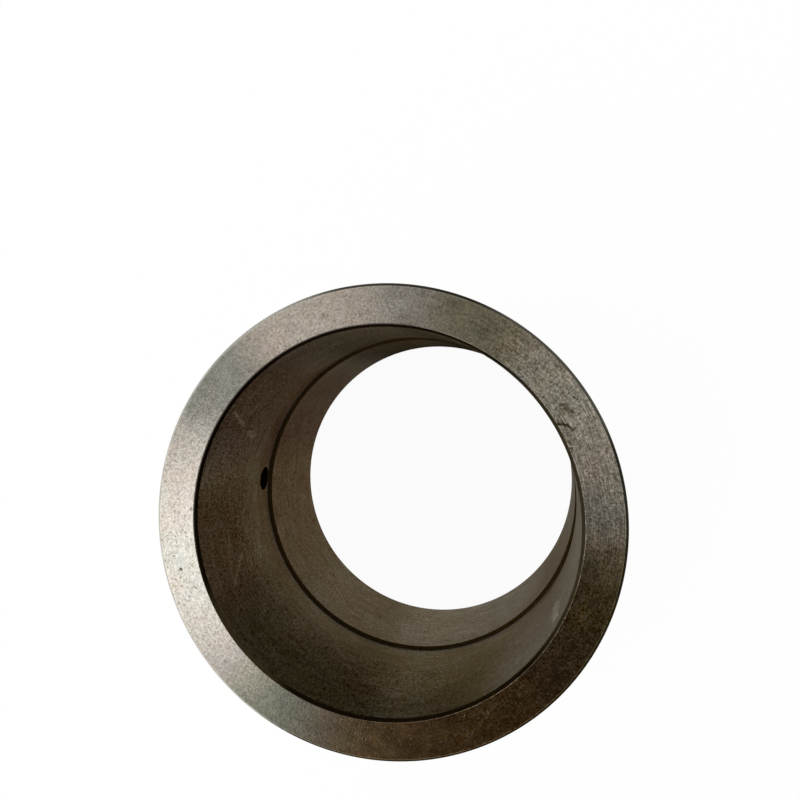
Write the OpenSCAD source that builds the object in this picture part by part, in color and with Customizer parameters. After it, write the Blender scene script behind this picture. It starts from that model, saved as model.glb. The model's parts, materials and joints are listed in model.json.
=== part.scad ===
// Plain bearing bushing: one turned steel sleeve with a ring-shaped oil
// groove round the middle of its bore and one radial oil hole that opens
// into the groove.
// Millimetres. The axis is Z, and the origin is the centre of the bottom end.

/* [Sleeve] */
// Outside diameter, which is pressed into the housing
outer_d = 80; // [60:0.5:120]
// Thickness of the wall, from the bore to the outside
wall = 7.3; // [4:0.1:12]
// Length from end face to end face
sleeve_length = 70; // [40:1:120]

/* [Edges] */
// Chamfer round the outside of each end face
outer_chamfer = 0.5; // [0.2:0.1:1.5]
// Chamfer at each mouth of the bore
bore_chamfer = 0.6; // [0.2:0.1:1.5]

/* [Oil groove] */
// Width of the groove, along the axis
groove_w = 9.2; // [4:0.1:20]
// Depth of the groove below the wall of the bore
groove_depth = 0.7; // [0.3:0.1:1.5]

/* [Oil hole] */
// Diameter of the drilled hole
oil_hole_d = 5; // [2:0.1:8]
// Distance of the hole above the middle of the groove, below it when negative
oil_hole_offset = -1.2; // [-2:0.1:2]
// Direction of the hole round the axis, in degrees from +X
oil_hole_angle = 270; // [0:1:359]

/* [Hidden] */

steel = [0.47, 0.43, 0.38];
round_facets = 180;
hole_facets = 48;

outer_r = outer_d / 2;
// The bore runs on the shaft: 65.4 mm across with the sizes above
bore_r = outer_r - wall;
groove_r = bore_r + groove_depth;

// The groove is centred between the end faces, and the hole follows it
groove_mid_z = sleeve_length / 2;
groove_low_z = groove_mid_z - groove_w / 2;
groove_high_z = groove_mid_z + groove_w / 2;
oil_hole_z = groove_mid_z + oil_hole_offset;

// The drill starts inside the bore and ends past the outside of the sleeve
drill_overrun = 2;
drill_start = bore_r - drill_overrun;
drill_length = wall + 2 * drill_overrun;

// Half section of the sleeve: X is the radius, Y the height.
// It runs up the outside and down the bore, round the groove.
module sleeve_section() {
    polygon([
        [bore_r + bore_chamfer, 0],
        [outer_r - outer_chamfer, 0],
        [outer_r, outer_chamfer],
        [outer_r, sleeve_length - outer_chamfer],
        [outer_r - outer_chamfer, sleeve_length],
        [bore_r + bore_chamfer, sleeve_length],
        [bore_r, sleeve_length - bore_chamfer],
        [bore_r, groove_high_z],
        [groove_r, groove_high_z],
        [groove_r, groove_low_z],
        [bore_r, groove_low_z],
        [bore_r, bore_chamfer]
    ]);
}

// Drill that opens the oil hole, pointing outwards from the axis
module oil_hole_drill() {
    translate([0, 0, oil_hole_z])
        rotate([0, 0, oil_hole_angle])
            translate([drill_start, 0, 0])
                rotate([0, 90, 0])
                    cylinder(h = drill_length, d = oil_hole_d, $fn = hole_facets);
}

// The whole sleeve, turned from one piece
module bushing() {
    color(steel)
        difference() {
            rotate_extrude($fn = round_facets) sleeve_section();
            oil_hole_drill();
        }
}

bushing();
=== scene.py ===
"""Looks of a plain steel bushing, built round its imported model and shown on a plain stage.

One operator turns the sleeve with Geometry Nodes and gives each of its surfaces a finish of its
own. The other makes the floor, the light and the camera. Lengths are in metres, apart from the
tables of sides and marks, which give theirs in millimetres.
"""

import json
import math
from typing import NamedTuple

import bpy
from bpy.props import FloatProperty, FloatVectorProperty, IntProperty, PointerProperty
from mathutils import Matrix, Vector


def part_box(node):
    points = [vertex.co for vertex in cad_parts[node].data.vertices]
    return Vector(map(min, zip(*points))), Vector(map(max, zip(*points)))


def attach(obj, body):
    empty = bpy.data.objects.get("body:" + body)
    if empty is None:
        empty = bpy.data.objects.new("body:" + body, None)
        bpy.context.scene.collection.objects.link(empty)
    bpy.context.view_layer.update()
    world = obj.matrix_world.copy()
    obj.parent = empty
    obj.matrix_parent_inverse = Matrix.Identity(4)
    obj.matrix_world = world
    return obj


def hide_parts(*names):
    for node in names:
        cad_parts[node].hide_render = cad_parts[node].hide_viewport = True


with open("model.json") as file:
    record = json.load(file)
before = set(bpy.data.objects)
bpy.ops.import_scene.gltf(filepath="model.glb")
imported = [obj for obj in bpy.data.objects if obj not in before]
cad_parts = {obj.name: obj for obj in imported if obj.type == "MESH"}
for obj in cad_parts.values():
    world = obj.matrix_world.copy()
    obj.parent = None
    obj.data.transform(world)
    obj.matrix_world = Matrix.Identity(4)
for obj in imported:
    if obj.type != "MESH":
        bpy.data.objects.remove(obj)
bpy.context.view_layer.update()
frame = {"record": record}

bl_info = {
    "name": "Steel Bushing",
    "version": (1, 0, 0),
    "blender": (4, 5, 0),
    "location": "3D View > Sidebar > Bushing",
    "description": "Builds a turned steel bushing with an oil groove, and a plain stage for it",
    "category": "Object",
}

MM = 0.001
CAD_NODE = "bushing"
CAD_LOW, CAD_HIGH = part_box(CAD_NODE)
CAD_LENGTH = CAD_HIGH.z - CAD_LOW.z
MOUNTS = {mount["name"]: mount for mount in frame["record"]["mounts"]}


def mount_size(name, dimension):
    """A mount's radius or length from the record, in metres."""
    return MOUNTS[name]["dims"][dimension] * MM


def chamfer_beside(name):
    """Chamfer at both ends of a mount's wall, which makes the wall shorter than the sleeve."""
    return (CAD_LENGTH - mount_size(name, "length_mm")) / 2


# What a user can change


class SleeveSizes(bpy.types.PropertyGroup):
    """Sizes of the sleeve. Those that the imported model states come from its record."""

    outer_radius: FloatProperty(
        name="Outer Radius",
        description="Radius of the outside, which is pressed into the housing",
        default=mount_size("outer_seat", "r_mm"),
        unit="LENGTH",
    )
    bore_radius: FloatProperty(
        name="Bore Radius",
        description="Radius of the bore, in which the shaft runs",
        default=mount_size("bore", "r_mm"),
        unit="LENGTH",
    )
    length: FloatProperty(
        name="Length",
        description="Distance from end face to end face",
        default=CAD_LENGTH,
        unit="LENGTH",
    )
    outer_chamfer: FloatProperty(
        name="Outer Chamfer",
        description="Chamfer round the outside of each end face",
        default=chamfer_beside("outer_seat"),
        unit="LENGTH",
    )
    bore_chamfer: FloatProperty(
        name="Bore Chamfer",
        description="Chamfer at each mouth of the bore",
        default=chamfer_beside("bore"),
        unit="LENGTH",
    )
    groove_width: FloatProperty(
        name="Groove Width",
        description="Width of the oil groove, along the axis",
        default=9.2 * MM,
        unit="LENGTH",
    )
    groove_depth: FloatProperty(
        name="Groove Depth",
        description="Depth of the oil groove below the wall of the bore",
        default=0.7 * MM,
        unit="LENGTH",
    )
    hole_radius: FloatProperty(
        name="Hole Radius",
        description="Radius of the oil hole",
        default=mount_size("oil_hole", "r_mm"),
        unit="LENGTH",
    )
    hole_height: FloatProperty(
        name="Hole Height",
        description="Height of the oil hole's middle above the lower end face",
        default=MOUNTS["oil_hole"]["pos_m"][2],
        unit="LENGTH",
    )
    hole_direction: FloatProperty(
        name="Hole Direction",
        description="Direction of the oil hole round the axis, from +X",
        default=math.atan2(MOUNTS["oil_hole"]["axis"][1], MOUNTS["oil_hole"]["axis"][0]),
        subtype="ANGLE",
    )
    edge_radius: FloatProperty(
        name="Edge Radius",
        description="Radius to which every turned edge is worn",
        default=0.12 * MM,
        unit="LENGTH",
    )
    turn_steps: IntProperty(
        name="Turn Steps",
        description="Number of faces round the sleeve",
        default=540,
        min=24,
    )
    hole_steps: IntProperty(
        name="Hole Steps",
        description="Number of faces round the oil hole",
        default=72,
        min=12,
    )


def colour_property(name, description, default):
    """A colour that the user can change, in linear light."""
    return FloatVectorProperty(
        name=name, description=description, default=default, subtype="COLOR", size=3, min=0, max=1
    )


class SteelFinish(bpy.types.PropertyGroup):
    """Colours and grain of the sleeve's surfaces."""

    face_colour: colour_property(
        "End Face", "Ground steel of the two end faces", (0.335, 0.322, 0.302)
    )
    # The bore and the groove's floor are painted darker than the end face: old grease, and painted
    # shade inside the bore
    bore_colour: colour_property(
        "Bore", "Bored wall, darkened by old grease", (0.17, 0.148, 0.115)
    )
    groove_colour: colour_property(
        "Groove", "Turned floor of the oil groove", (0.17, 0.145, 0.11)
    )
    # The dark edges are painted shade in the bore's mouths and inside the oil hole
    mouth_shade_colour: colour_property(
        "Dark Edges", "Dirt in the bore's mouths and the oil hole", (0.0095, 0.0062, 0.0022)
    )
    # The groove's sides are painted shade, where the groove's recess is in shadow
    groove_side_shade_colour: colour_property(
        "Groove Sides", "Old oil on the two sides of the groove", (0.06, 0.036, 0.011)
    )
    rim_colour: colour_property(
        "Outer Chamfer", "Turned chamfer round the outside", (0.6, 0.58, 0.52)
    )
    outside_colour: colour_property(
        "Outside", "Ground outside of the sleeve", (0.31, 0.29, 0.25)
    )
    stain_tint: colour_property(
        "Stain", "Tint of the oil stains, which come in patches", (0.8, 0.62, 0.42)
    )
    warm_tint: colour_property(
        "Warm Tint", "Tint of the reddish patches of the bare steel", (1.0, 0.965, 0.94)
    )
    cool_tint: colour_property(
        "Cool Tint", "Tint of the greenish patches of the bare steel", (0.955, 0.98, 0.95)
    )
    grain_size: FloatProperty(
        name="Grain Size",
        description="Size of the fine speckle that grinding leaves",
        default=0.36 * MM,
        unit="LENGTH",
    )
    mottle_size: FloatProperty(
        name="Mottle Size",
        description="Size of the soft patches in the colour",
        default=3.2 * MM,
        unit="LENGTH",
    )


class StageSettings(bpy.types.PropertyGroup):
    """Floor, light and camera. Directions are azimuth from +X and tilt from straight up."""

    floor_size: FloatProperty(
        name="Floor Size", description="Length of the floor's side", default=8.0, unit="LENGTH"
    )
    lamp_azimuth: FloatProperty(
        name="Lamp Azimuth",
        description="Direction of the lamp round the axis",
        default=math.radians(299.5),
        subtype="ANGLE",
    )
    lamp_tilt: FloatProperty(
        name="Lamp Tilt",
        description="Tilt of the lamp's direction from straight up",
        default=math.radians(27.5),
        subtype="ANGLE",
    )
    lamp_distance: FloatProperty(
        name="Lamp Distance",
        description="Distance of the lamp from the upper end face",
        default=0.9,
        unit="LENGTH",
    )
    lamp_size: FloatProperty(
        name="Lamp Size", description="Diameter of the lamp's disc", default=0.27, unit="LENGTH"
    )
    lamp_radiance: FloatProperty(
        name="Lamp Radiance",
        description="Brightness of the lamp's disc, where 1 is white",
        default=2.3,
    )
    lens: FloatProperty(
        name="Lens",
        description="Focal length for a 36 mm sensor",
        default=37.4,
        unit="CAMERA",
    )
    camera_position: FloatVectorProperty(
        name="Camera Position",
        description="Place of the camera",
        default=(-0.025151, 0.025726, 0.205169),
        subtype="XYZ",
        unit="LENGTH",
    )
    camera_aim: FloatVectorProperty(
        name="Camera Aim",
        description="Point of the upper end face's plane at the middle of the picture",
        default=(-0.020779, 0.001367, 0.070),
        subtype="XYZ",
        unit="LENGTH",
    )
    camera_up: FloatVectorProperty(
        name="Camera Up",
        description="Direction that is up in the picture",
        default=(-0.99566, -0.09173, -0.01567),
        subtype="DIRECTION",
    )


def own_properties(group):
    """Properties that a property group declares itself, in their order."""
    inherited = ("rna_type", "name")
    return [entry for entry in group.bl_rna.properties if entry.identifier not in inherited]


# Building blocks of every node tree

# Room that a node takes up in the node editor
NODE_WIDTH = 240
NODE_HEIGHT = 220


def add(tree, kind, inputs=None, **settings):
    """Adds a node. inputs gives its sockets by name or number, as a value or as a node's output."""
    node = tree.nodes.new(kind)
    for name, value in settings.items():
        setattr(node, name, value)
    for key, value in (inputs or {}).items():
        if isinstance(value, bpy.types.NodeSocket):
            tree.links.new(value, node.inputs[key])
        else:
            node.inputs[key].default_value = value
    return node


def numbers(tree, operation, *terms):
    """Output of a Math node."""
    return add(tree, "ShaderNodeMath", dict(enumerate(terms)), operation=operation).outputs[0]


def vectors(tree, operation, *terms):
    """Vector output of a Vector Math node."""
    node = add(tree, "ShaderNodeVectorMath", dict(enumerate(terms)), operation=operation)
    return node.outputs["Vector"]


def measure(tree, operation, *terms):
    """Number that a Vector Math node gives, such as a length or a dot product."""
    node = add(tree, "ShaderNodeVectorMath", dict(enumerate(terms)), operation=operation)
    return node.outputs["Value"]


def scaled(tree, value, factor):
    """A vector times a number."""
    node = add(tree, "ShaderNodeVectorMath", {0: value, "Scale": factor}, operation="SCALE")
    return node.outputs["Vector"]


def vector(tree, x=0.0, y=0.0, z=0.0):
    """Output of a Combine XYZ node."""
    return add(tree, "ShaderNodeCombineXYZ", {"X": x, "Y": y, "Z": z}).outputs[0]


def ramp(tree, value, low, high, to_low=0.0, to_high=1.0):
    """Smooth step of a value from one level to another."""
    inputs = {"Value": value, "From Min": low, "From Max": high}
    inputs |= {"To Min": to_low, "To Max": to_high}
    return add(tree, "ShaderNodeMapRange", inputs, interpolation_type="SMOOTHSTEP").outputs[0]


def cone(tree, facing, full, reach):
    """How far a cosine lies in a cone: 1 up to one half angle, 0 from another, in degrees."""
    return ramp(tree, facing, math.cos(math.radians(reach)), math.cos(math.radians(full)))


def outwards_at(tree, position):
    """Unit vector from the axis towards a position."""
    return vectors(tree, "NORMALIZE", vectors(tree, "MULTIPLY", position, (1.0, 1.0, 0.0)))


def radius_at(tree, position):
    """Distance of a position from the axis."""
    return measure(tree, "LENGTH", vectors(tree, "MULTIPLY", position, (1.0, 1.0, 0.0)))


def height_at(tree, position):
    """Height of a position above the lower end face."""
    return add(tree, "ShaderNodeSeparateXYZ", {0: position}).outputs["Z"]


def point_at(radius, azimuth, height):
    """Point at a distance from the axis, an azimuth in degrees and a height."""
    angle = math.radians(azimuth)
    return Vector((radius * math.cos(angle), radius * math.sin(angle), height))


def arrange(tree):
    """Lays the nodes out in columns, so that each stands to the right of what feeds it."""
    column = {node: 0 for node in tree.nodes}
    for _ in tree.nodes:
        moved = False
        for wire in tree.links:
            if column[wire.to_node] <= column[wire.from_node]:
                column[wire.to_node] = column[wire.from_node] + 1
                moved = True
        if not moved:
            break
    rows = {}
    for node, place in column.items():
        rows[place] = rows.get(place, 0) + 1
        node.location = (NODE_WIDTH * place, -NODE_HEIGHT * rows[place])


# Shape of the sleeve

# Faces across a worn edge
EDGE_STEPS = 4
# Length of the drill, in thicknesses of the wall
DRILL_LENGTH = 1.5
# Angle between two faces above which the edge between them stays sharp
CREASE_ANGLE = math.radians(50)
# How far below a surface the faces of its worn edges still take its finish
WORN_INTO_WALL = 0.02 * MM
WORN_INTO_OUTSIDE = 0.08 * MM
WORN_INTO_END = 0.016 * MM
# How far the painted shade of the groove's sides reaches past them, along the axis
PAST_GROOVE = 0.2 * MM
# How far the finish of the outer chamfer reaches down from the end face, in chamfers
RIM_REACH = 1.2


def groove_place(tree, size):
    """Height of the groove's middle, half its width and the radius of its floor."""
    middle = numbers(tree, "MULTIPLY", size["Length"], 0.5)
    half_width = numbers(tree, "MULTIPLY", size["Groove Width"], 0.5)
    floor = numbers(tree, "ADD", size["Bore Radius"], size["Groove Depth"])
    return middle, half_width, floor


def half_section(tree, size, path_radius):
    """Closed outline of the wall, drawn for a sweep round the axis: X is outwards and -Y is up."""
    outer, bore, length = size["Outer Radius"], size["Bore Radius"], size["Length"]
    outer_chamfer, bore_chamfer = size["Outer Chamfer"], size["Bore Chamfer"]
    middle, half_groove, groove_floor = groove_place(tree, size)
    groove_low = numbers(tree, "SUBTRACT", middle, half_groove)
    groove_high = numbers(tree, "ADD", middle, half_groove)
    mouth = numbers(tree, "ADD", bore, bore_chamfer)
    mouth_high = numbers(tree, "SUBTRACT", length, bore_chamfer)
    rim = numbers(tree, "SUBTRACT", outer, outer_chamfer)
    rim_high = numbers(tree, "SUBTRACT", length, outer_chamfer)
    corners = (
        (rim, 0.0),
        (mouth, 0.0),
        (bore, bore_chamfer),
        (bore, groove_low),
        (groove_floor, groove_low),
        (groove_floor, groove_high),
        (bore, groove_high),
        (bore, mouth_high),
        (mouth, length),
        (rim, length),
        (outer, rim_high),
        (outer, outer_chamfer),
    )
    choice = add(tree, "GeometryNodeIndexSwitch", data_type="VECTOR")
    while len(choice.index_switch_items) < len(corners):
        choice.index_switch_items.new()
    tree.links.new(add(tree, "GeometryNodeInputIndex").outputs[0], choice.inputs["Index"])
    for number, (radius, height) in enumerate(corners):
        outwards = numbers(tree, "SUBTRACT", radius, path_radius)
        down = numbers(tree, "MULTIPLY", height, -1.0)
        tree.links.new(vector(tree, outwards, down), choice.inputs[str(number)])
    points = add(tree, "GeometryNodeMeshLine", {"Count": len(corners)})
    line = add(tree, "GeometryNodeMeshToCurve", {"Mesh": points.outputs["Mesh"]})
    placed = add(
        tree,
        "GeometryNodeSetPosition",
        {"Geometry": line.outputs["Curve"], "Position": choice.outputs[0]},
    )
    closed = add(
        tree,
        "GeometryNodeSetSplineCyclic",
        {"Geometry": placed.outputs["Geometry"], "Cyclic": True},
    )
    worn = add(
        tree,
        "GeometryNodeFilletCurve",
        {
            "Curve": closed.outputs["Geometry"],
            "Count": EDGE_STEPS,
            "Radius": size["Edge Radius"],
            "Limit Radius": True,
        },
        mode="POLY",
    )
    return worn.outputs["Curve"]


def drill(tree, size, path_radius):
    """Cylinder that cuts the oil hole, through the wall and a little past it on both sides."""
    wall = numbers(tree, "SUBTRACT", size["Outer Radius"], size["Bore Radius"])
    cutter = add(
        tree,
        "GeometryNodeMeshCylinder",
        {
            "Vertices": size["Hole Steps"],
            "Radius": size["Hole Radius"],
            "Depth": numbers(tree, "MULTIPLY", wall, DRILL_LENGTH),
        },
    )
    laid = add(
        tree,
        "GeometryNodeTransform",
        {
            "Geometry": cutter.outputs["Mesh"],
            "Translation": vector(tree, path_radius, 0.0, size["Hole Height"]),
            "Rotation": (0.0, math.radians(90), 0.0),
        },
    )
    turned = add(
        tree,
        "GeometryNodeTransform",
        {
            "Geometry": laid.outputs["Geometry"],
            "Rotation": vector(tree, 0.0, 0.0, size["Hole Direction"]),
        },
    )
    return turned.outputs["Geometry"]


def above(tree, value, limit):
    """Whether a value is above a limit, as 1 or 0."""
    return numbers(tree, "GREATER_THAN", value, limit)


def below(tree, value, limit):
    """Whether a value is below a limit, as 1 or 0."""
    return numbers(tree, "LESS_THAN", value, limit)


def both(tree, first, second):
    """Whether two conditions hold, as 1 or 0."""
    return numbers(tree, "MULTIPLY", first, second)


def surface_masks(tree, size, wall_middle):
    """For each surface of the sleeve, whether a face belongs to it, by its place.

    They are laid on in this order, so that a later one wins where two overlap.
    """
    position = add(tree, "GeometryNodeInputPosition").outputs[0]
    radius = radius_at(tree, position)
    middle, half_groove, groove_floor = groove_place(tree, size)
    from_middle = numbers(tree, "SUBTRACT", height_at(tree, position), middle)
    off_middle = numbers(tree, "ABSOLUTE", from_middle)
    off_floor = numbers(tree, "ABSOLUTE", numbers(tree, "SUBTRACT", radius, groove_floor))

    # The groove's sides and a little of the wall past them take the painted shade of the groove's
    # sides
    below_floor = numbers(tree, "ADD", groove_floor, WORN_INTO_WALL)
    past_groove = numbers(tree, "ADD", half_groove, PAST_GROOVE)
    in_groove = both(
        tree, below(tree, radius, below_floor), below(tree, off_middle, past_groove)
    )
    rim_depth = numbers(tree, "MULTIPLY", size["Outer Chamfer"], RIM_REACH)
    near_end = numbers(tree, "SUBTRACT", middle, rim_depth)
    on_rim = both(tree, above(tree, radius, wall_middle), above(tree, off_middle, near_end))
    outside_edge = numbers(tree, "SUBTRACT", size["Outer Radius"], WORN_INTO_OUTSIDE)
    bore_edge = numbers(tree, "ADD", size["Bore Radius"], WORN_INTO_WALL)
    on_floor = both(
        tree, below(tree, off_floor, WORN_INTO_WALL), below(tree, off_middle, half_groove)
    )
    end_edge = numbers(tree, "SUBTRACT", middle, WORN_INTO_END)
    return (
        ("groove_side_shade", in_groove),
        ("rim", on_rim),
        ("outside", above(tree, radius, outside_edge)),
        ("bore", below(tree, radius, bore_edge)),
        ("groove", on_floor),
        ("face", above(tree, off_middle, end_edge)),
    )


def sleeve_tree(finishes):
    """Geometry Nodes that turn the sleeve, drill it and dress its surfaces."""
    tree = bpy.data.node_groups.new("Turned Sleeve", "GeometryNodeTree")
    tree.is_modifier = True
    tree.interface.new_socket("Geometry", in_out="OUTPUT", socket_type="NodeSocketGeometry")
    for entry in own_properties(SleeveSizes):
        kind = "NodeSocketInt" if entry.type == "INT" else "NodeSocketFloat"
        tree.interface.new_socket(entry.name, in_out="INPUT", socket_type=kind)
    size = add(tree, "NodeGroupInput").outputs
    both_radii = numbers(tree, "ADD", size["Outer Radius"], size["Bore Radius"])
    wall_middle = numbers(tree, "MULTIPLY", both_radii, 0.5)
    path = add(
        tree,
        "GeometryNodeCurvePrimitiveCircle",
        {"Resolution": size["Turn Steps"], "Radius": wall_middle},
        mode="RADIUS",
    )
    turned = add(
        tree,
        "GeometryNodeCurveToMesh",
        {"Curve": path.outputs["Curve"], "Profile Curve": half_section(tree, size, wall_middle)},
    )
    drilled = add(
        tree,
        "GeometryNodeMeshBoolean",
        {"Mesh 1": turned.outputs["Mesh"], "Mesh 2": drill(tree, size, wall_middle)},
        operation="DIFFERENCE",
        solver="EXACT",
    )
    smooth = add(
        tree,
        "GeometryNodeSetShadeSmooth",
        {"Geometry": drilled.outputs["Mesh"], "Shade Smooth": True},
        domain="FACE",
    )
    angle = add(tree, "GeometryNodeInputMeshEdgeAngle").outputs["Unsigned Angle"]
    creased = add(
        tree,
        "GeometryNodeSetShadeSmooth",
        {
            "Geometry": smooth.outputs["Geometry"],
            "Selection": above(tree, angle, CREASE_ANGLE),
            "Shade Smooth": False,
        },
        domain="EDGE",
    )
    whole = add(tree, "GeometryNodeRealizeInstances", {"Geometry": creased.outputs["Geometry"]})
    # The bore's mouths and the oil hole keep the dark finish, which paints their shade, because no
    # mask covers them
    dressed = add(
        tree,
        "GeometryNodeSetMaterial",
        {"Geometry": whole.outputs["Geometry"], "Material": finishes["scale"]},
    )
    for surface, mask in surface_masks(tree, size, wall_middle):
        dressed = add(
            tree,
            "GeometryNodeSetMaterial",
            {
                "Geometry": dressed.outputs["Geometry"],
                "Selection": mask,
                "Material": finishes[surface],
            },
        )
    add(tree, "NodeGroupOutput", {"Geometry": dressed.outputs["Geometry"]})
    arrange(tree)
    return tree


# How the steel of a surface looks


class Side(NamedTuple):
    """One side of a surface, round the axis, and how it differs from the rest of it."""

    # Azimuth of its middle, and the half angles where it is full and where it ends, in degrees
    azimuth: float
    full: float
    reach: float
    # Its tint, and how much more lathe streak and grain it has
    tint: tuple = (1.0, 1.0, 1.0)
    streak: float = 0.0
    grain: float = 0.0
    # Heights where it sets in and where it is full, in millimetres. Without them, it is as strong
    # at every height.
    heights: tuple = ()


class WornEdge(NamedTuple):
    """Ring of the end face along an edge, with its own brightness and colour."""

    # Radius where the ring begins, and radius of the edge
    ring_start: float
    edge: float
    # Brightness at the edge, and how far the plain colour of the steel shows there
    gain: float
    bare: float


class Mark(NamedTuple):
    """Straight mark between two points. It is dark, or bright where its strength is below zero."""

    start: Vector
    end: Vector
    width: float
    strength: float


class SurfaceLook(NamedTuple):
    """Look of one surface. The tints and sizes that all surfaces share are in SteelFinish."""

    name: str
    colour: tuple
    roughness: float = 0.3
    metallic: float = 1.0
    # Mirror light of what isn't metal, and tint of the metal's mirror light at a grazing angle
    specular: float = 0.5
    edge_tint: tuple = (1.0, 1.0, 1.0)
    bump: float = 0.2
    # Contrast of the warm and cool patches, the soft patches, the oil stains and the fine grain
    patchy: float = 1.0
    mottle: float = 0.15
    stain: float = 0.3
    grain: float = 0.2
    # Depth of the small dark specks
    specks: float = 0.0
    # How much longer the grain is along the axis than across it
    stretch: float = 1.0
    # Contrast of the lathe streaks, their length and width, and what they follow each other along,
    # which is the height or the radius
    streak: float = 0.2
    streak_size: tuple = (3 * MM, 0.25 * MM)
    across: str = "height"
    # Sides with a tint, sides with a coarser finish, and sides where old oil covers the metal
    sides: tuple = ()
    coarse_sides: tuple = ()
    film: tuple = ()
    edge_bands: tuple = ()
    marks: tuple = ()


# Sockets of a Mix node that blends colours
MIX_FACTOR, MIX_FIRST, MIX_SECOND = 0, 6, 7
MIX_RESULT = 2
# Size of the broad stains and of the warm and cool patches, where the mottle size is 1
BROAD_STAIN = 5.0
HUE_PATCH = 10 / 3
# Size of a speck, where the grain size is 1
SPECK = 1.25
# Steps to other places of the noise, so that no pattern follows another
HUE_STEP = (1.0, 0.0, 0.0)
SPECK_STEP = (0.0, 1.0, 0.0)
# Levels of noise between which the warm tint turns into the cool one, and between which a speck
# sets in
HUE_LEVELS = (0.38, 0.62)
SPECK_LEVELS = (0.33, 0.24)
# Levels between which a stain sets in, of two noises added up
STAIN_LEVELS = (0.98, 1.25)
# Noise keeps near its middle, so the contrast of streaks and grain and of patches is raised
LINE_CONTRAST = 4
PATCH_CONTRAST = 2
# How far the patches change the roughness
ROUGHNESS_SWING = 0.5
# Height of the bump, and how deep a pit is in it
RELIEF = 0.03 * MM
PIT_DEPTH = -2.0
# Radius at which a lathe streak has the length that its surface gives
STREAK_RADIUS = 36 * MM
# Noise that frays a mark: its scale, its levels and the least width that it leaves
FRAY_SCALE = 3500
FRAY_LEVELS = (0.3, 0.65)
FRAY_WIDTH = 0.35
# Share of a mark's width over which it is at full strength
MARK_CORE = 0.4


def noise(tree, place, scale, detail=2.0, roughness=0.5):
    """Noise from 0 to 1, mostly near its middle."""
    inputs = {"Vector": place, "Scale": scale, "Detail": detail, "Roughness": roughness}
    return add(tree, "ShaderNodeTexNoise", inputs).outputs[0]


def mix(tree, factor, first, second, blend="MIX"):
    """Blend of two colours. A sum is kept between black and white."""
    node = add(
        tree,
        "ShaderNodeMix",
        {MIX_FACTOR: factor, MIX_FIRST: first, MIX_SECOND: second},
        data_type="RGBA",
        blend_type=blend,
        clamp_result=blend == "ADD",
    )
    return node.outputs[MIX_RESULT]


def opaque(colour):
    """Three levels of a colour as the four numbers that a colour socket takes."""
    return (*colour, 1.0)


def grey(tree, level):
    """Colour with the same level in its three channels."""
    return add(tree, "ShaderNodeCombineColor", {0: level, 1: level, 2: level}).outputs[0]


def vary(tree, level, pattern, amount):
    """Level that a pattern from 0 to 1 raises and lowers by up to half the amount."""
    swing = numbers(tree, "MULTIPLY_ADD", numbers(tree, "SUBTRACT", pattern, 0.5), amount, 1.0)
    return numbers(tree, "MULTIPLY", level, swing)


def on_side(tree, position, side):
    """How far a place lies on one side of the sleeve, between 0 and 1."""
    middle = point_at(1.0, side.azimuth, 0.0)
    facing = measure(tree, "DOT_PRODUCT", outwards_at(tree, position), middle)
    beside = cone(tree, facing, side.full, side.reach)
    if not side.heights:
        return beside
    sets_in, full = side.heights
    return numbers(
        tree, "MULTIPLY", beside, ramp(tree, height_at(tree, position), sets_in * MM, full * MM)
    )


def lathe_streaks(tree, position, look):
    """Noise in streaks that run round the axis, as a lathe leaves them."""
    length, width = look.streak_size
    step = radius_at(tree, position) if look.across == "radius" else height_at(tree, position)
    turns = scaled(tree, outwards_at(tree, position), STREAK_RADIUS / length)
    rise = vector(tree, z=numbers(tree, "MULTIPLY", step, 1 / width))
    return noise(tree, vectors(tree, "ADD", turns, rise), 1.0, detail=3, roughness=0.6)


def mark_group():
    """Shader nodes that give the strength of a straight mark between two points."""
    tree = bpy.data.node_groups.new("Straight Mark", "ShaderNodeTree")
    for name in ("Position", "Start", "End"):
        tree.interface.new_socket(name, in_out="INPUT", socket_type="NodeSocketVector")
    tree.interface.new_socket("Width", in_out="INPUT", socket_type="NodeSocketFloat")
    tree.interface.new_socket("Strength", in_out="OUTPUT", socket_type="NodeSocketFloat")
    given = add(tree, "NodeGroupInput").outputs
    reach = vectors(tree, "SUBTRACT", given["End"], given["Start"])
    offset = vectors(tree, "SUBTRACT", given["Position"], given["Start"])
    along = numbers(
        tree,
        "DIVIDE",
        measure(tree, "DOT_PRODUCT", offset, reach),
        measure(tree, "DOT_PRODUCT", reach, reach),
    )
    along = add(tree, "ShaderNodeClamp", {"Value": along}).outputs[0]
    distance = measure(tree, "DISTANCE", offset, scaled(tree, reach, along))
    fray = ramp(
        tree, noise(tree, given["Position"], FRAY_SCALE, detail=2), *FRAY_LEVELS, FRAY_WIDTH, 1.0
    )
    width = numbers(tree, "MULTIPLY", given["Width"], fray)
    strength = ramp(tree, numbers(tree, "DIVIDE", distance, width), MARK_CORE, 1.0, 1.0, 0.0)
    add(tree, "NodeGroupOutput", {"Strength": strength})
    arrange(tree)
    return tree


def stained_tone(tree, position, look, finish, patches):
    """Colour of a surface, with its warm and cool patches, oil stains and tinted sides, whose tints
    are partly painted light and shade.
    """
    elsewhere = vectors(tree, "ADD", position, HUE_STEP)
    hue = noise(tree, elsewhere, 1 / (HUE_PATCH * finish.mottle_size), detail=3)
    cool = ramp(tree, hue, *HUE_LEVELS, (1 - look.patchy) / 2, (1 + look.patchy) / 2)
    tint = mix(tree, cool, opaque(finish.warm_tint), opaque(finish.cool_tint))
    tone = mix(tree, 1.0, opaque(look.colour), tint, "MULTIPLY")
    broad = noise(tree, position, 1 / (BROAD_STAIN * finish.mottle_size), detail=2)
    stained = ramp(tree, numbers(tree, "ADD", patches, broad), *STAIN_LEVELS, 0.0, look.stain)
    tone = mix(tree, stained, tone, opaque(finish.stain_tint), "MULTIPLY")
    for side in look.sides:
        tone = mix(tree, on_side(tree, position, side), tone, opaque(side.tint), "MULTIPLY")
    return tone


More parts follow.
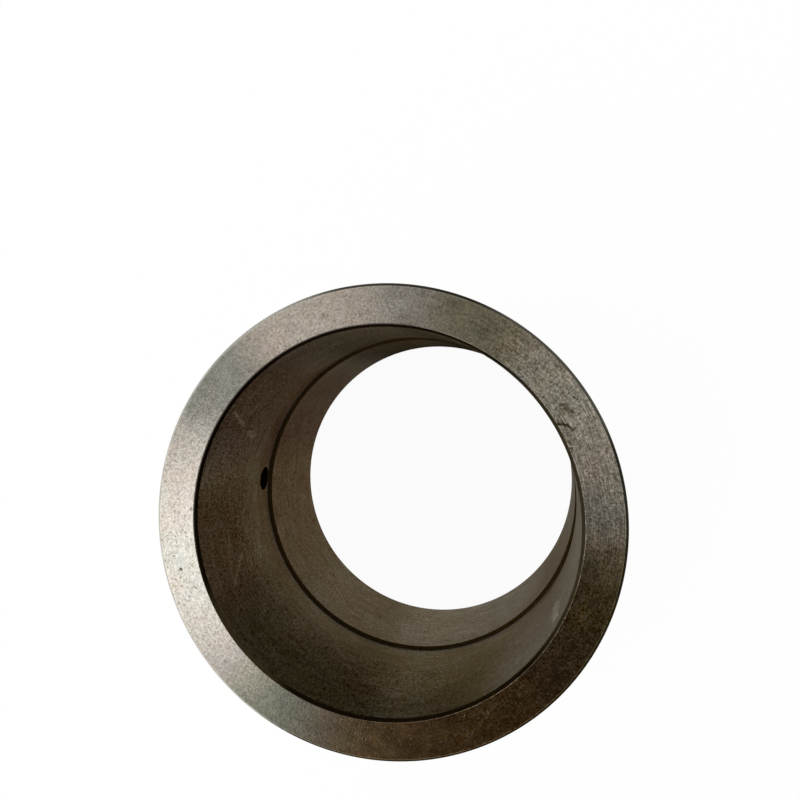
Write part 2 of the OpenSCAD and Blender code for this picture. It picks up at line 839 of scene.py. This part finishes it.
def line_contrast(tree, position, look):
    """Contrast of the lathe streaks and of the grain, which is higher on the coarse sides."""
    streak = LINE_CONTRAST * look.streak
    grain = LINE_CONTRAST * look.grain
    for side in look.coarse_sides:
        there = on_side(tree, position, side)
        streak = numbers(tree, "MULTIPLY_ADD", there, LINE_CONTRAST * side.streak, streak)
        grain = numbers(tree, "MULTIPLY_ADD", there, LINE_CONTRAST * side.grain, grain)
    return streak, grain


def pits_and_gleams(tree, position, drawn, look, finish):
    """Depth of the specks and dark marks, and strength of the bright marks."""
    pits = 0.0
    gleam = 0.0
    if look.specks:
        elsewhere = vectors(tree, "ADD", drawn, SPECK_STEP)
        speckled = noise(tree, elsewhere, 1 / (SPECK * finish.grain_size), detail=1)
        pits = ramp(tree, speckled, *SPECK_LEVELS, 0.0, look.specks)
    for mark in look.marks:
        one = add(
            tree,
            "ShaderNodeGroup",
            {"Position": position, "Start": mark.start, "End": mark.end, "Width": mark.width},
            node_tree=bpy.data.node_groups["Straight Mark"],
        )
        depth = numbers(tree, "MULTIPLY", one.outputs[0], abs(mark.strength))
        if mark.strength > 0:
            pits = numbers(tree, "MAXIMUM", pits, depth)
        else:
            gleam = numbers(tree, "MAXIMUM", gleam, depth)
    return pits, gleam


def steel(look, finish):
    """Material of one surface: stained and tinted metal, with painted light and shade on some
    sides, edge rings, grain, streaks and marks.
    """
    material = bpy.data.materials.new(look.name)
    material.use_nodes = True
    tree = material.node_tree
    tree.nodes.clear()
    position = add(tree, "ShaderNodeTexCoord").outputs["Object"]
    drawn = vectors(tree, "MULTIPLY", position, (1.0, 1.0, 1 / look.stretch))
    patches = noise(tree, position, 1 / finish.mottle_size, detail=4, roughness=0.6)
    fine = noise(tree, drawn, 1 / finish.grain_size, detail=2, roughness=0.6)
    turned = lathe_streaks(tree, position, look)
    streak, grain = line_contrast(tree, position, look)
    pits, gleam = pits_and_gleams(tree, position, drawn, look, finish)

    tone = stained_tone(tree, position, look, finish, patches)
    shade = vary(tree, 1.0, patches, PATCH_CONTRAST * look.mottle)
    shade = vary(tree, shade, turned, streak)
    # Rings along the end face's edges, each with its own brightness and share of plain colour
    for worn in look.edge_bands:
        near = ramp(tree, radius_at(tree, position), worn.ring_start, worn.edge)
        shade = numbers(tree, "MULTIPLY", shade, ramp(tree, near, 0.0, 1.0, 1.0, worn.gain))
        tone = mix(tree, numbers(tree, "MULTIPLY", near, worn.bare), tone, opaque(look.colour))
    tone = mix(tree, pits, tone, opaque(finish.stain_tint), "MULTIPLY")
    shade = numbers(tree, "MULTIPLY", shade, numbers(tree, "SUBTRACT", 1.0, pits))
    shade = numbers(tree, "MULTIPLY", shade, numbers(tree, "ADD", 1.0, gleam))
    tone = mix(tree, 1.0, tone, grey(tree, shade), "MULTIPLY")
    level = add(tree, "ShaderNodeRGBToBW", {0: tone}).outputs[0]
    swing = numbers(tree, "MULTIPLY", numbers(tree, "SUBTRACT", fine, 0.5), grain)
    tone = mix(tree, 1.0, tone, grey(tree, numbers(tree, "MULTIPLY", level, swing)), "ADD")

    relief = numbers(tree, "MULTIPLY_ADD", turned, LINE_CONTRAST * look.streak, fine)
    relief = numbers(tree, "MULTIPLY_ADD", pits, PIT_DEPTH, relief)
    bumpy = {"Strength": look.bump, "Distance": RELIEF, "Height": relief}
    metallic = look.metallic
    for side in look.film:
        metallic = numbers(tree, "SUBTRACT", metallic, on_side(tree, position, side))
    shader = add(
        tree,
        "ShaderNodeBsdfPrincipled",
        {
            "Base Color": tone,
            "Metallic": metallic,
            "Roughness": vary(tree, look.roughness, patches, ROUGHNESS_SWING),
            "Specular IOR Level": look.specular,
            "Specular Tint": opaque(look.edge_tint),
            "Normal": add(tree, "ShaderNodeBump", bumpy).outputs[0],
        },
    )
    add(tree, "ShaderNodeOutputMaterial", {"Surface": shader.outputs[0]})
    arrange(tree)
    return material


# Where the surfaces differ from their plain finish

# Both end faces. Their tints are painted reflection and painted shade, with some staining. The
# tints of sides that overlap are multiplied.
FACE_STAINS_AND_PAINTED_LIGHT = (
    Side(38, 32, 60, (1.13, 0.82, 0.46)),
    Side(70, 9, 24, (0.7, 0.77, 0.8)),
    Side(82, 5, 14, (0.92, 0.95, 0.82)),
    Side(58, 5, 13, (1.0, 1.02, 1.12)),
    Side(118, 22, 38, (1.31, 1.32, 1.31)),
    Side(158, 5, 17, (0.88, 0.86, 0.74)),
    Side(334, 6, 16, (0.97, 1.02, 0.93)),
    Side(208, 12, 26, (1.07, 1.0, 0.97)),
    Side(235, 6, 18, (0.78, 0.81, 0.8)),
)
FACE_COARSE_SIDES = (
    Side(115, 22, 55, streak=0.6, grain=0.35),
    Side(50, 16, 36, streak=0.1, grain=0.55),
)
# Wall of the bore, floor of the groove and the groove's two sides. Their tints are painted shade
# and painted reflection, with some staining: darker towards the upper mouth on some sides and
# lighter deeper down on others.
BORE_STAINS_AND_PAINTED_LIGHT = (
    Side(332, 14, 38, (0.42, 0.435, 0.42), heights=(22, 62)),
    Side(288, 10, 26, (0.66, 0.59, 0.58), heights=(34, 56)),
    Side(13, 8, 24, (0.7, 0.74, 0.77), heights=(52, 66)),
    Side(278, 20, 42, (0.95, 0.87, 0.87), heights=(44, 30)),
    Side(25, 15, 40, (1.55, 1.62, 1.75), heights=(50, 20)),
    Side(68, 14, 36, (1.6, 1.7, 2.0), heights=(30, 66)),
    Side(180, 18, 48, (0.94, 0.84, 0.7)),
    Side(200, 11, 27, (1.5, 1.6, 1.6), heights=(66, 52)),
    Side(235, 12, 35, (0.78, 0.74, 0.86)),
    Side(62, 25, 45, (1.0, 1.01, 1.07), heights=(42, 30)),
    Side(333, 8, 20, (1.09, 1.08, 1.13), heights=(44, 32)),
    Side(192, 8, 20, (1.25, 1.25, 1.3), heights=(52, 42)),
    Side(222, 8, 20, (0.87, 0.88, 0.88), heights=(30, 14)),
    Side(170, 7, 15, (0.78, 0.78, 0.78), heights=(45, 60)),
)
BORE_COARSE_SIDES = (Side(250, 110, 170, streak=0.05, grain=0.25, heights=(38, 50)),)
BORE_FILM = (Side(182, 20, 46),)
GROOVE_STAINS_AND_PAINTED_LIGHT = (
    *BORE_STAINS_AND_PAINTED_LIGHT,
    Side(275, 20, 40, (0.88, 0.86, 0.85)),
    Side(3, 18, 34, (0.9, 0.91, 0.89)),
)
# Painted light on the lighter sides of the groove's painted shade
GROOVE_SIDE_PAINTED_LIGHT = (
    Side(248, 62, 88, (1.45, 1.4, 1.3)),
    Side(215, 20, 45, (1.3, 1.35, 1.4)),
)
# Chamfer round the outside, which is darker on one side and lighter on the other
RIM_SIDES = (
    Side(90, 105, 125, (0.06, 0.062, 0.048)),
    Side(38, 45, 65, (0.9, 0.7, 0.5)),
    Side(138, 12, 25, (3.5, 3.5, 4.3)),
    Side(228, 16, 32, (0.62, 0.64, 0.64)),
)
RIM_FILM = (Side(75, 90, 120),)
# The bore's mouths are painted nearly black as shade, so tints far above 1 bring the steel out
# again: painted light on the lit parts of the mouths' chamfers, strongest next to the end face
MOUTH_PAINTED_LIGHT = (
    Side(102, 20, 50, (4.9, 5.8, 9.5)),
    Side(316, 7, 22, (5.9, 6.8, 9.0)),
    Side(48, 26, 46, (2.6, 2.8, 3.2), heights=(69.56, 69.44)),
    Side(180, 28, 48, (3.6, 3.9, 4.6), heights=(69.7, 69.56)),
    Side(215, 38, 60, (0.7, 0.62, 0.8)),
    Side(218, 45, 80, (33.0, 48.0, 95.0), heights=(69.86, 69.93)),
    Side(138, 20, 40, (1.8, 1.9, 2.0), heights=(69.86, 69.93)),
    Side(75, 7, 22, (2.0, 2.0, 2.3), heights=(69.86, 69.93)),
)

# Width of the rings along the outer and the inner edge of the end face
OUTER_BAND = 0.3 * MM
INNER_BAND = 0.12 * MM

# Marks of the upper end face: radius and azimuth of both ends, width and strength. The first two
# are the nick at the edge of the bore, and the last is a pit on the far side.
FACE_MARKS = (
    ((33.0, 125.8), (34.5, 124.0), 0.44, 0.8),
    ((34.5, 124.0), (35.15, 122.0), 0.4, 0.6),
    ((35.4, 129.2), (36.2, 128.4), 0.55, 0.55),
    ((35.7, 127.8), (36.3, 126.3), 0.6, 0.5),
    ((37.8, 129.1), (38.1, 128.2), 0.34, 0.5),
    ((33.55, 119.7), (33.8, 119.0), 0.36, 0.6),
    ((33.4, 118.0), (33.65, 117.4), 0.34, 0.6),
    ((35.3, 124.0), (35.07, 118.9), 0.26, -0.35),
    ((35.08, 128.8), (35.52, 127.1), 1.6, 0.12),
    ((36.65, 289.4), (36.75, 289.2), 0.34, 0.8),
)
# Marks of the bore's wall: height and azimuth of both ends, width and strength. The last four are
# one smear.
BORE_MARKS = (
    ((66.6, 241.0), (57.5, 246.6), 0.6, -0.65),
    ((53.4, 249.6), (48.8, 251.6), 1.1, -0.5),
    ((56.9, 286.7), (59.9, 299.9), 0.6, -0.45),
    ((52.3, 292.4), (59.9, 299.9), 0.8, -0.5),
    ((41.5, 288.0), (44.0, 296.9), 0.8, -0.3),
    ((55.4, 267.3), (54.7, 275.6), 0.6, -0.3),
    ((59.2, 70.2), (60.1, 62.5), 0.9, -0.35),
    ((57.9, 68.4), (61.9, 68.4), 0.7, -0.4),
    ((55.7, 66.8), (64.7, 66.8), 1.0, -0.55),
    ((55.8, 65.3), (64.8, 65.3), 1.0, -0.5),
)


def on_face(size, radius, azimuth):
    """Point of the upper end face, from a radius in millimetres and an azimuth in degrees."""
    return point_at(radius * MM, azimuth, size.length)


def on_bore(size, height, azimuth):
    """Point of the bore's wall, from a height in millimetres and an azimuth in degrees."""
    return point_at(size.bore_radius, azimuth, height * MM)


def placed_marks(table, place, size):
    """Marks of a table. place makes a point of each of their ends."""
    return [
        Mark(place(size, *start), place(size, *end), width * MM, strength)
        for start, end, width, strength in table
    ]


def worn_edges_of(size):
    """Ring along the outer edge of the end face, lighter, and ring along its inner edge, darker and
    nearer the plain colour.
    """
    rim = size.outer_radius - size.outer_chamfer
    mouth = size.bore_radius + size.bore_chamfer
    return (
        WornEdge(rim - OUTER_BAND, rim, gain=1.2, bare=0.0),
        WornEdge(mouth + INNER_BAND, mouth, gain=0.6, bare=0.3),
    )


def finishes_for(size, finish):
    """One material for each surface of the sleeve."""
    mark_group()
    bored = {
        "roughness": 0.46,
        "specular": 0.0,
        "edge_tint": (0.3, 0.27, 0.22),
        "patchy": 0.4,
        "stretch": 1.8,
        "streak_size": (6 * MM, 0.9 * MM),
        "film": BORE_FILM,
    }
    dark_matt = {"roughness": 0.7, "metallic": 0.0, "specular": 0.0, "stain": 0.0}
    looks = {
        "face": SurfaceLook(
            "ground_end_face",
            finish.face_colour,
            roughness=0.2,
            bump=0.3,
            mottle=0.25,
            stain=0.15,
            grain=0.36,
            specks=0.4,
            streak=0.13,
            streak_size=(3.2 * MM, 0.12 * MM),
            across="radius",
            sides=FACE_STAINS_AND_PAINTED_LIGHT,
            coarse_sides=FACE_COARSE_SIDES,
            edge_bands=worn_edges_of(size),
            marks=placed_marks(FACE_MARKS, on_face, size),
        ),
        "bore": SurfaceLook(
            "bored_wall",
            finish.bore_colour,
            mottle=0.3,
            stain=0.16,
            grain=0.42,
            specks=0.45,
            sides=BORE_STAINS_AND_PAINTED_LIGHT,
            coarse_sides=BORE_COARSE_SIDES,
            marks=placed_marks(BORE_MARKS, on_bore, size),
            **bored,
        ),
        "groove": SurfaceLook(
            "groove_floor", finish.groove_colour, grain=0.4, sides=GROOVE_STAINS_AND_PAINTED_LIGHT, **bored
        ),
        # Painted shade in the bore's mouths and the oil hole, with painted light on the mouths'
        # chamfers
        "scale": SurfaceLook("dark_edges", finish.mouth_shade_colour, sides=MOUTH_PAINTED_LIGHT, **dark_matt),
        # Painted shade on the groove's two sides and just past them
        "groove_side_shade": SurfaceLook(
            "groove_sides", finish.groove_side_shade_colour, sides=GROOVE_SIDE_PAINTED_LIGHT, **dark_matt
        ),
        "rim": SurfaceLook(
            "outer_chamfer",
            finish.rim_colour,
            roughness=0.35,
            specular=0.0,
            stain=0.1,
            sides=RIM_SIDES,
            film=RIM_FILM,
        ),
        "outside": SurfaceLook(
            "ground_outside",
            finish.outside_colour,
            edge_tint=(0.5, 0.48, 0.45),
            mottle=0.1,
            stain=0.15,
            grain=0.12,
            streak=0.22,
            streak_size=(9 * MM, 0.16 * MM),
        ),
    }
    return {surface: steel(look, finish) for surface, look in looks.items()}


def link(item):
    """Puts an object into the scene."""
    bpy.context.scene.collection.objects.link(item)
    return item


class BUSHING_OT_build_sleeve(bpy.types.Operator):
    """Turn the sleeve from its sizes, drill its oil hole and give its surfaces their finishes"""

    bl_idname = "bushing.build_sleeve"
    bl_label = "Build Sleeve"

    def execute(self, context):
        size = context.scene.bushing_sizes
        finish = context.scene.bushing_finish
        blank = link(bpy.data.objects.new("sleeve_blank", bpy.data.meshes.new("sleeve_blank")))
        turning = blank.modifiers.new("Turned Sleeve", "NODES")
        turning.node_group = sleeve_tree(finishes_for(size, finish))
        sockets = {
            item.name: item.identifier
            for item in turning.node_group.interface.items_tree
            if item.in_out == "INPUT"
        }
        for entry in own_properties(SleeveSizes):
            turning[sockets[entry.name]] = getattr(size, entry.identifier)
        shading = blank.modifiers.new("Even Shading", "WEIGHTED_NORMAL")
        shading.keep_sharp = True
        ready = blank.evaluated_get(context.evaluated_depsgraph_get())
        mesh = bpy.data.meshes.new_from_object(ready)
        bpy.data.objects.remove(blank)
        if not mesh.polygons:
            raise RuntimeError("the sleeve came out empty")
        mesh.name = "turned_sleeve"
        sleeve = link(bpy.data.objects.new("turned_sleeve", mesh))
        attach(sleeve, "root")
        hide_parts(CAD_NODE)
        return {"FINISHED"}


# Stage

# The floor lies this far below the sleeve, so that the two don't share a plane
FLOOR_GAP = 0.05 * MM
# What the floor is for the light, and what camera and mirror rays see of it: its own white, and the
# part of it that takes the shadow
PAPER = (0.8, 0.8, 0.8)
BACKDROP_WHITE = 0.95
SHADOW_PAPER = (0.08, 0.08, 0.08)

# Colours of the room: all round at the horizon, on the walls, in the window and overhead
HORIZON = (1.0, 1.0, 1.0)
WALL = (0.22, 0.21, 0.19)
WINDOW = (1.1, 1.1, 1.1)
CEILING = (0.6, 0.56, 0.5)
# Heights between which the horizon turns into the walls and the walls into the ceiling, where
# straight up is 1
HORIZON_TO_WALL = (0.18, 0.4)
WALL_TO_CEILING = (0.7, 0.92)
# Azimuth and tilt of the window's middle in degrees, and the cosine up to which it grows brighter
WINDOW_MIDDLE = (265, 60)
WINDOW_FULL = 0.9
# Patches of the ceiling: azimuth, tilt, radius where a patch is full and where it ends, in degrees,
# and its colour
CEILING_PATCHES = (
    (357, 21, 10, 19, (0.02, 0.008, 0.002)),
    (262, 18, 3, 9, (1.5, 1.45, 1.4)),
    (276, 23, 1, 5, (0.3, 0.34, 0.3)),
    (238, 7, 2, 8, (0.15, 0.14, 0.1)),
)

SENSOR_WIDTH = 36.0
CLIP_START = 0.005


def direction(azimuth, tilt):
    """Unit vector at an azimuth from +X and a tilt from straight up."""
    return Vector(
        (math.sin(tilt) * math.cos(azimuth), math.sin(tilt) * math.sin(azimuth), math.cos(tilt))
    )


def make_floor(stage):
    """White floor that keeps the shadow. Camera and mirror rays see it as a white background."""
    half = stage.floor_size / 2
    mesh = bpy.data.meshes.new("floor")
    corners = [(-half, -half, 0), (half, -half, 0), (half, half, 0), (-half, half, 0)]
    mesh.from_pydata(corners, [], [(0, 1, 2, 3)])
    mesh.transform(Matrix.Translation((0, 0, -FLOOR_GAP)))
    material = bpy.data.materials.new("white_floor")
    material.use_nodes = True
    tree = material.node_tree
    tree.nodes.clear()
    rays = add(tree, "ShaderNodeLightPath").outputs
    shown = numbers(tree, "MAXIMUM", rays["Is Camera Ray"], rays["Is Glossy Ray"])
    shown = numbers(tree, "MAXIMUM", shown, rays["Is Transmission Ray"])
    paper = add(tree, "ShaderNodeBsdfDiffuse", {"Color": opaque(PAPER)})
    white = add(tree, "ShaderNodeEmission", {"Color": (1, 1, 1, 1), "Strength": BACKDROP_WHITE})
    shadow = add(tree, "ShaderNodeBsdfDiffuse", {"Color": opaque(SHADOW_PAPER)})
    backdrop = add(tree, "ShaderNodeAddShader", {0: white.outputs[0], 1: shadow.outputs[0]})
    surface = add(
        tree, "ShaderNodeMixShader", {0: shown, 1: paper.outputs[0], 2: backdrop.outputs[0]}
    )
    add(tree, "ShaderNodeOutputMaterial", {"Surface": surface.outputs[0]})
    arrange(tree)
    mesh.materials.append(material)
    floor = link(bpy.data.objects.new("floor", mesh))


def make_lamp(stage):
    """One soft round lamp, turned to the sleeve's upper end face."""
    target = Vector((0, 0, CAD_HIGH.z))
    back = direction(stage.lamp_azimuth, stage.lamp_tilt)
    area = math.pi * (stage.lamp_size / 2) ** 2
    data = bpy.data.lights.new("soft_lamp", "AREA")
    data.shape = "DISK"
    data.size = stage.lamp_size
    data.energy = stage.lamp_radiance * math.pi * area
    lamp = link(bpy.data.objects.new("soft_lamp", data))
    lamp.location = target + back * stage.lamp_distance
    lamp.rotation_euler = back.to_track_quat("Z", "Y").to_euler()
    lamp.visible_camera = False


def make_room():
    """Room round the stage: white at the horizon, bright on one side, and greyer overhead."""
    world = bpy.data.worlds.new("plain_room")
    bpy.context.scene.world = world
    world.use_nodes = True
    tree = world.node_tree
    tree.nodes.clear()
    way = add(tree, "ShaderNodeTexCoord").outputs["Generated"]
    height = add(tree, "ShaderNodeSeparateXYZ", {0: way}).outputs["Z"]
    window = direction(*map(math.radians, WINDOW_MIDDLE))
    lit = ramp(tree, measure(tree, "DOT_PRODUCT", way, window), 0.0, WINDOW_FULL)
    wall = mix(tree, lit, opaque(WALL), opaque(WINDOW))
    colour = mix(tree, ramp(tree, height, *HORIZON_TO_WALL), opaque(HORIZON), wall)
    colour = mix(tree, ramp(tree, height, *WALL_TO_CEILING), colour, opaque(CEILING))
    for azimuth, tilt, full, reach, patch in CEILING_PATCHES:
        centre = direction(math.radians(azimuth), math.radians(tilt))
        near = cone(tree, measure(tree, "DOT_PRODUCT", way, centre), full, reach)
        colour = mix(tree, near, colour, opaque(patch))
    light = add(tree, "ShaderNodeBackground", {"Color": colour, "Strength": 1.0})
    add(tree, "ShaderNodeOutputWorld", {"Surface": light.outputs[0]})
    arrange(tree)


def make_camera(stage):
    """Camera that looks into the bore from above."""
    position = Vector(stage.camera_position)
    forward = (Vector(stage.camera_aim) - position).normalized()
    right = forward.cross(Vector(stage.camera_up)).normalized()
    up = right.cross(forward)
    data = bpy.data.cameras.new("camera")
    data.lens = stage.lens
    data.sensor_width = SENSOR_WIDTH
    data.clip_start = CLIP_START
    camera = link(bpy.data.objects.new("camera", data))
    turn = Matrix((right, up, -forward)).transposed().to_4x4()
    camera.matrix_world = Matrix.Translation(position) @ turn
    bpy.context.scene.camera = camera


class BUSHING_OT_build_stage(bpy.types.Operator):
    """Make the white floor, the soft lamp, the plain room and the camera"""

    bl_idname = "bushing.build_stage"
    bl_label = "Build Stage"

    def execute(self, context):
        stage = context.scene.bushing_stage
        make_floor(stage)
        make_lamp(stage)
        make_room()
        make_camera(stage)
        context.scene.view_settings.view_transform = "Standard"
        return {"FINISHED"}


# Panel and registration


class BUSHING_PT_panel(bpy.types.Panel):
    """Sizes, finishes and stage of the bushing"""

    bl_label = "Steel Bushing"
    bl_space_type = "VIEW_3D"
    bl_region_type = "UI"
    bl_category = "Bushing"

    def draw(self, context):
        for group, operator in (
            (context.scene.bushing_sizes, None),
            (context.scene.bushing_finish, BUSHING_OT_build_sleeve.bl_idname),
            (context.scene.bushing_stage, BUSHING_OT_build_stage.bl_idname),
        ):
            column = self.layout.column()
            for entry in own_properties(group):
                column.prop(group, entry.identifier)
            if operator:
                column.operator(operator)


CLASSES = (
    SleeveSizes,
    SteelFinish,
    StageSettings,
    BUSHING_OT_build_sleeve,
    BUSHING_OT_build_stage,
    BUSHING_PT_panel,
)


def register():
    for item in CLASSES:
        bpy.utils.register_class(item)
    bpy.types.Scene.bushing_sizes = PointerProperty(type=SleeveSizes)
    bpy.types.Scene.bushing_finish = PointerProperty(type=SteelFinish)
    bpy.types.Scene.bushing_stage = PointerProperty(type=StageSettings)


def unregister():
    del bpy.types.Scene.bushing_stage
    del bpy.types.Scene.bushing_finish
    del bpy.types.Scene.bushing_sizes
    for item in reversed(CLASSES):
        bpy.utils.unregister_class(item)


def main():
    """Builds the sleeve and the stage."""
    register()
    bpy.ops.bushing.build_sleeve()
    bpy.ops.bushing.build_stage()
    bpy.context.view_layer.update()


if __name__ == "__main__":
    main()
